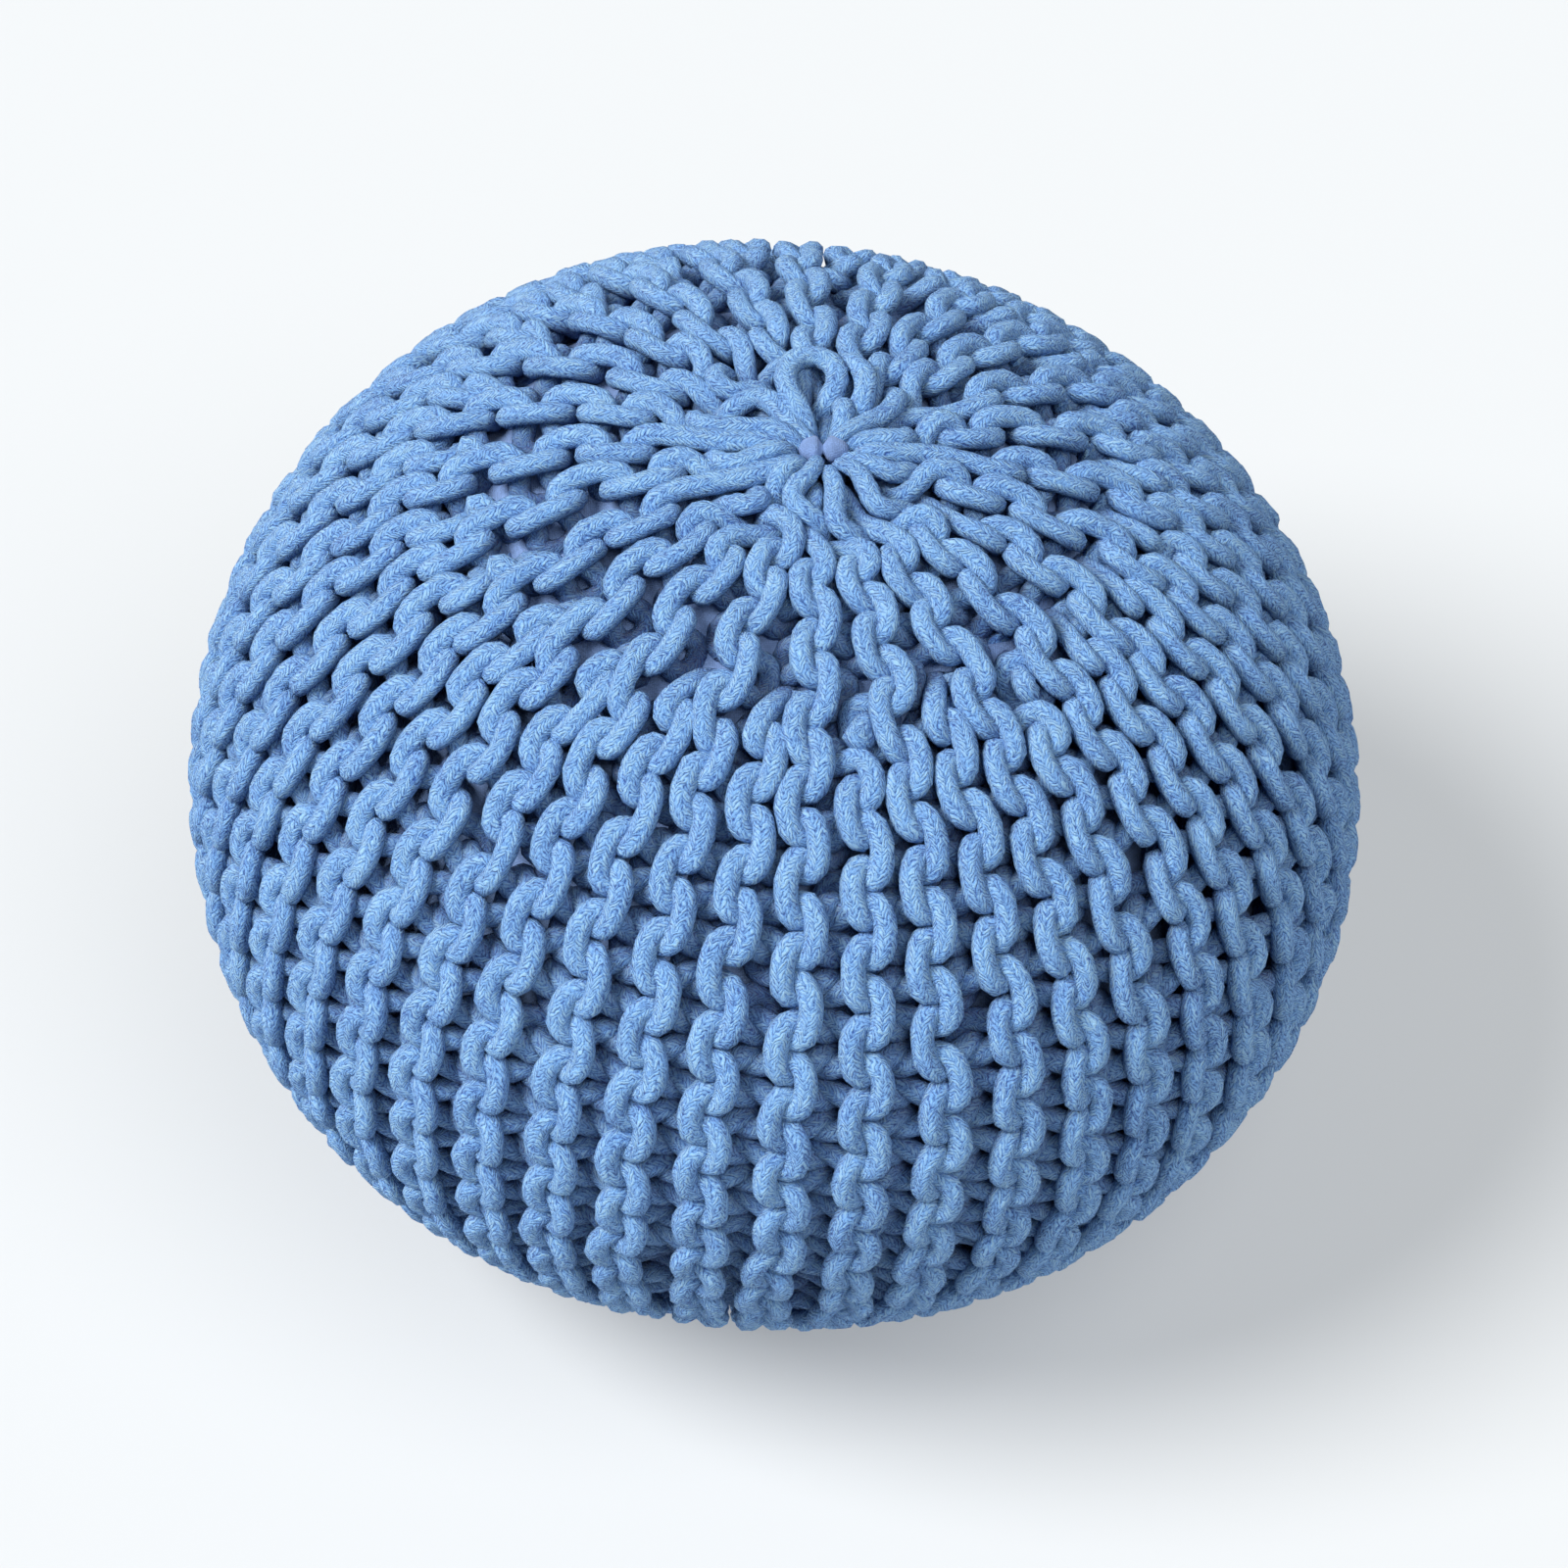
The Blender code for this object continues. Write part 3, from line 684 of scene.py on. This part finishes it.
def cord_piece(name, numbers):
    """One mesh of several cords. Its uv map named cord holds the length along the cord in
    centimetres and the share of the way around it, and the one named depth holds how deep each
    corner lies under the rib tops, in centimetres, for the painted shade of the furrows. OFBake lays
    the cords side by side in rows."""
    lines = [refined(cord_table, starts[number], ends[number]) for number in numbers]
    counts = np.array([len(line) for line in lines])
    values = np.concatenate(lines)
    rings = np.concatenate([cord_rings(line[:, :3], line[:, 3:6], line[:, 6]) for line in lines])
    rings[..., 2] = np.maximum(rings[..., 2], FLOOR_GAP)
    step = np.linalg.norm(np.diff(values[:, :3], axis=0, append=values[-1:, :3]), axis=-1)
    last = np.cumsum(counts) - 1
    step[last] = 0.0
    along = np.concatenate([[0.0], np.cumsum(step)[:-1]])
    near = np.setdiff1d(np.arange(len(values)), last)
    c = np.arange(SIDES)
    base = near[:, None] * SIDES
    beside = (c + 1) % SIDES
    quads = np.stack([base + c, base + beside, base + SIDES + beside, base + SIDES + c], axis=-1)
    quads = quads.ravel()
    caps = np.stack([(last - counts + 1)[:, None] * SIDES + c[::-1], last[:, None] * SIDES + c]).ravel()
    loop_total = len(quads) + len(caps)
    mesh = bpy.data.meshes.new(name)
    mesh.vertices.add(len(values) * SIDES)
    mesh.vertices.foreach_set("co", rings.astype(np.float32).ravel())
    mesh.loops.add(loop_total)
    mesh.loops.foreach_set("vertex_index", np.concatenate([quads, caps]).astype(np.int32))
    mesh.polygons.add(len(quads) // 4 + len(caps) // SIDES)
    mesh.polygons.foreach_set("loop_start", np.concatenate(
        [np.arange(0, len(quads), 4), len(quads) + np.arange(0, len(caps), SIDES)]).astype(np.int32))
    mesh.update(calc_edges=True)
    around = np.stack([c, c + 1, c + 1, c], axis=-1) / SIDES
    # How deep each corner lies, for the painted shade: a cord's inner side lies deeper than its outer
    # side.
    turn = np.sin(2.0 * math.pi * c / SIDES)
    deep = values[:, 7, None] - values[:, 6, None] * turn * CORD_FLATNESS
    deep = deep.ravel()[quads].reshape(len(near), SIDES, 4)
    shape = (len(near), SIDES, 4)
    forward = np.array([0.0, 0.0, 1.0, 1.0])
    length = along[near, None, None] + step[near, None, None] * forward
    rows = math.ceil(math.sqrt(along[-1] / (math.pi * CORD_WIDTH)))
    row_length = along[-1] / rows * ROW_SLACK
    row = np.floor(along[near] / row_length)[:, None, None]
    in_row = (length - row * row_length) / (row_length + ROW_SPARE)
    bake_u = ROW_MARGINS[0] + (1.0 - 2.0 * ROW_MARGINS[0]) * in_row
    bake_v = (row + ROW_MARGINS[1] + (1.0 - 2.0 * ROW_MARGINS[1]) * around) / rows
    for title, u, v in (("cord", length * 100.0, around), ("OFBake", bake_u, bake_v),
                        ("depth", deep * 100.0, around)):
        flat = np.zeros((loop_total, 2), np.float32)
        flat[:len(quads), 0] = np.broadcast_to(u, shape).ravel()
        flat[:len(quads), 1] = np.broadcast_to(v, shape).ravel()
        mesh.uv_layers.new(name=title).data.foreach_set("uv", flat.ravel())
    mesh.shade_smooth()
    made = bpy.data.objects.new(name, mesh)
    bpy.context.scene.collection.objects.link(made)
    made.data.materials.append(cord_finish.material)
    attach(made, "root")
    return made


# The cord's looks: slanted strands in columns around it, with fibres along them, and a fluff and
# wide clouds in the cord's own space. Its colour follows the relief: painted shade between the
# strands, pale fibres with painted light on the highest strands and fluff, and painted shade in
# the furrows between the ribs.
CORD_GAP_SHADE = (0.017, 0.090, 0.400)    # painted shade between the strands
CORD_TOP = (0.220, 0.500, 0.985)    # on them
CORD_PALE_FIBRE_AND_HIGHLIGHT = (0.38, 0.68, 1.0)       # pale fibres on the highest fluff, with painted light on the highest strands
CORD_TOP_AT = 0.62                  # place of the middle one of these three in the lightness
CORD_FURROW_SHADE = (0.22, 0.29, 0.42)      # painted shade: what is left of the colour in the furrows between the ribs and on a cord's deeper side
CORD_FURROW_SHADE_FADE = (0.28, 1.50)       # depths under the rib tops over which that painted shade sets in, in centimetres
BRAID_COLUMNS = 10                  # of slanted strands around the cord, every other one turned
BRAID_STEP = 0.165                  # from strand to strand along the cord, in centimetres
BRAID_SLANT = 1.9                   # strands that a column's slant crosses
BRAID_ROUND, BRAID_SEAM = 0.7, 0.5  # powers that square off a strand's ridge and a column's edge
BRAID_SEAM_DEPTH = 0.6              # share of a strand's height that it loses at a column's edge
BRAID_SHADES = (0.65, 0.5)          # height of the lowest strand, and how much the highest adds
BRAID_DEPTH = 0.0011                # of the bump, for a relief of 1
CORD_WANDER = (330.0, 2.0, 2.0)     # of strands along the cord: noise cells in a metre, detail, weight
CORD_DRIFT = (210.0, 1.0, 1.3)      # of columns around it
FIBRE_PACE = (2.6, 0.9, 5.3, 0.4)   # of the fibres' change over a strand's width, over a column's,
                                    # from one column to the next, and over a centimetre along
CORD_FIBRES = (1.8, 3.0, 0.65)      # noise scale, detail and roughness
CORD_FLUFF = (750.0, 4.0, 0.8)
CORD_CLOUD = (45.0, 2.0)
RELIEF_WEIGHTS = (0.72, 0.9, 2.0)   # of the strands, the fibres and the fluff
LIGHT_WEIGHTS = (1.2, 0.5, 0.10)    # of the relief, which paints shade between the strands and light on their tops, of the clouds, and what is added to both

cord_finish = Finish("cotton cord", roughness=0.88, sheen=0.14)
cord_uv = cord_finish.node("ShaderNodeUVMap", {"uv_map": "cord"})
cord_length = cord_finish.node("ShaderNodeSeparateXYZ", None, {0: cord_uv}, 0)
cord_around = cord_finish.node("ShaderNodeSeparateXYZ", None, {0: cord_uv}, 1)
cord_depth = cord_finish.node("ShaderNodeSeparateXYZ", None, {
    0: cord_finish.node("ShaderNodeUVMap", {"uv_map": "depth"})}, 0)
cord_place = cord_finish.node("ShaderNodeTexCoord", output=3)
cord_wander = cord_finish.node("ShaderNodeTexNoise", None, {
    "Vector": cord_place, "Scale": CORD_WANDER[0], "Detail": CORD_WANDER[1]})
cord_drift = cord_finish.node("ShaderNodeTexNoise", None, {
    "Vector": cord_place, "Scale": CORD_DRIFT[0], "Detail": CORD_DRIFT[1]})
braid_column = cord_around * BRAID_COLUMNS + (cord_drift - 0.5) * CORD_DRIFT[2]
braid_turn = cord_finish.node("ShaderNodeMath", {"operation": "PINGPONG"}, {0: braid_column, 1: 1.0})
braid_phase = (cord_length / BRAID_STEP + braid_turn * BRAID_SLANT
               + (cord_wander - 0.5) * CORD_WANDER[2])
braid_strand = cord_finish.node("ShaderNodeMath", {"operation": "FLOOR"}, {0: braid_phase})
braid_across = braid_phase - braid_strand
braid_ridge = braid_across * (1.0 - braid_across) * 4.0
braid_seam = braid_turn * (1.0 - braid_turn) * 4.0
braid_side = cord_finish.node("ShaderNodeMath", {"operation": "FLOOR"}, {0: braid_column})
strand_name = cord_finish.node("ShaderNodeCombineXYZ", None, {0: braid_strand, 1: braid_side})
strand_shade = cord_finish.node("ShaderNodeTexWhiteNoise", {"noise_dimensions": "2D"},
                                {"Vector": strand_name})
braid_form = (braid_ridge ** BRAID_ROUND
              * (braid_seam ** BRAID_SEAM * BRAID_SEAM_DEPTH + (1.0 - BRAID_SEAM_DEPTH))
              * (strand_shade * BRAID_SHADES[1] + BRAID_SHADES[0]))
fibre_place = cord_finish.node("ShaderNodeCombineXYZ", None, {
    0: braid_phase * FIBRE_PACE[0], 1: braid_turn * FIBRE_PACE[1] + braid_side * FIBRE_PACE[2],
    2: cord_length * FIBRE_PACE[3]})
strand_fibre = cord_finish.node("ShaderNodeTexNoise", None, {
    "Vector": fibre_place, "Scale": CORD_FIBRES[0], "Detail": CORD_FIBRES[1],
    "Roughness": CORD_FIBRES[2]})
cord_fluff = cord_finish.node("ShaderNodeTexNoise", None, {
    "Vector": cord_place, "Scale": CORD_FLUFF[0], "Detail": CORD_FLUFF[1],
    "Roughness": CORD_FLUFF[2]})
cord_cloud = cord_finish.node("ShaderNodeTexNoise", None, {
    "Vector": cord_place, "Scale": CORD_CLOUD[0], "Detail": CORD_CLOUD[1]})
cord_relief = (braid_form * RELIEF_WEIGHTS[0] + (strand_fibre - 0.5) * RELIEF_WEIGHTS[1]
               + (cord_fluff - 0.5) * RELIEF_WEIGHTS[2])
# Painted light and shade: the colour's lightness follows the relief, darker between the strands and
# lighter on their tops, with the clouds' own tone added.
cord_painted_light_and_tone = (cord_relief * LIGHT_WEIGHTS[0] + (cord_cloud - 0.5) * LIGHT_WEIGHTS[1]
              + LIGHT_WEIGHTS[2])
cord_colour = cord_finish.node("ShaderNodeValToRGB", {"stops": (
    (0.0, CORD_GAP_SHADE), (CORD_TOP_AT, CORD_TOP), (1.0, CORD_PALE_FIBRE_AND_HIGHLIGHT))}, {0: cord_painted_light_and_tone})
# Painted shade: the colour is darkened by depth under the rib tops, in the furrows between the ribs and
# on the cords' deeper sides.
cord_furrow_shade = cord_finish.node("ShaderNodeMapRange", {"interpolation_type": "SMOOTHSTEP"}, {
    "Value": cord_depth, "From Min": CORD_FURROW_SHADE_FADE[0], "From Max": CORD_FURROW_SHADE_FADE[1]})
cord_finish.feed("Base Color", cord_finish.node(
    "ShaderNodeMix", {"data_type": "RGBA", "blend_type": "MULTIPLY"},
    {0: cord_furrow_shade, 6: cord_colour, 7: (*CORD_FURROW_SHADE, 1.0)}, 2))
cord_finish.feed("Normal", cord_finish.node("ShaderNodeBump", None, {
    "Height": cord_relief, "Strength": 1.0, "Distance": BRAID_DEPTH}))

# The knitting in groups of neighbouring ribs. A full rib has two cords and a short rib one.
KNIT_PIECES = 6

rib_cords = np.concatenate([[rib] if rib % 2 else [rib, rib] for rib in range(2 * FULL_RIBS)])
for number in range(KNIT_PIECES):
    first_rib = number * 2 * FULL_RIBS // KNIT_PIECES
    last_rib = (number + 1) * 2 * FULL_RIBS // KNIT_PIECES
    mine = np.nonzero((rib_cords >= first_rib) & (rib_cords < last_rib))[0]
    knit = cord_piece(f"knit_ribs_{number + 1}", mine)
    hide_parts("knit_cover")

closing = cord_piece("closing_cord", np.arange(knit_cords, len(cords)))
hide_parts("closing_loop")
